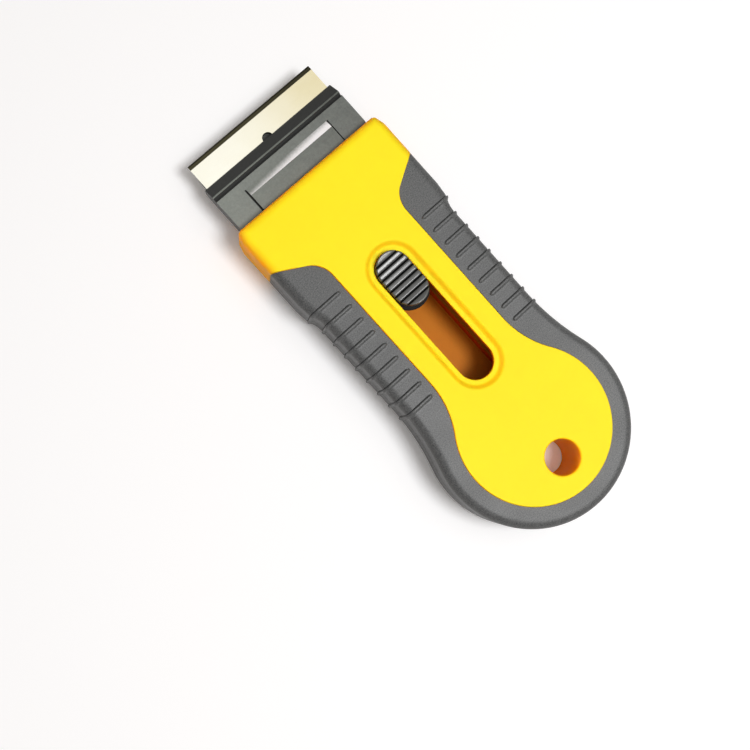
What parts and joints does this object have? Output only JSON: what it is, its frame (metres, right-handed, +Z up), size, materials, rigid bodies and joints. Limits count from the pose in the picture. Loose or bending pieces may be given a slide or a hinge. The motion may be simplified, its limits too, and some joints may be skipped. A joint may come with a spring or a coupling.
{
  "type": "razor blade scraper",
  "caption": "Retractable razor blade scraper with a flat yellow two-shell handle, dark ribbed grips, a hang hole and a thumb slide that pushes a wide blade out of the nose.",
  "frame": {"origin": "hang hole's axis, at the handle's underside", "axes": "+Y along the handle towards the blade, +Z up out of the face with the thumb slot"},
  "size_m": [0.0508, 0.1294, 0.017],
  "materials": {
    "yellow_abs": "satin moulded",
    "grip_rubber": "fine matte",
    "carrier_plastic": "satin moulded",
    "button_plastic": "satin moulded",
    "blade_steel": "bright ground",
    "spring_steel": "rolled",
    "screw_steel": "zinc plated"
  },
  "bodies": {
    "handle": {"upper_shell": "yellow_abs", "lower_shell": "yellow_abs", "upper_grip": "grip_rubber", "lower_grip": "grip_rubber", "tail_screw": "screw_steel", "neck_screw_left": "screw_steel", "neck_screw_right": "screw_steel"},
    "slider": {"blade_carrier": "carrier_plastic", "blade_clamp": "carrier_plastic", "razor_blade": "blade_steel", "detent_spring": "spring_steel"},
    "button": {"thumb_button": "button_plastic"}
  },
  "joints": [
    {"name": "blade_slide", "type": "slide", "parent": "handle", "child": "slider", "axis": [0, 1, 0], "range_m": [-0.024, 0], "deforming": ["detent_spring"]},
    {"name": "button_press", "type": "slide", "parent": "slider", "child": "button", "axis": [0, 0, -1], "range_m": [0, 0.0008], "stiffness_N_per_m": 1500, "deforming": ["detent_spring"]}
  ]
}
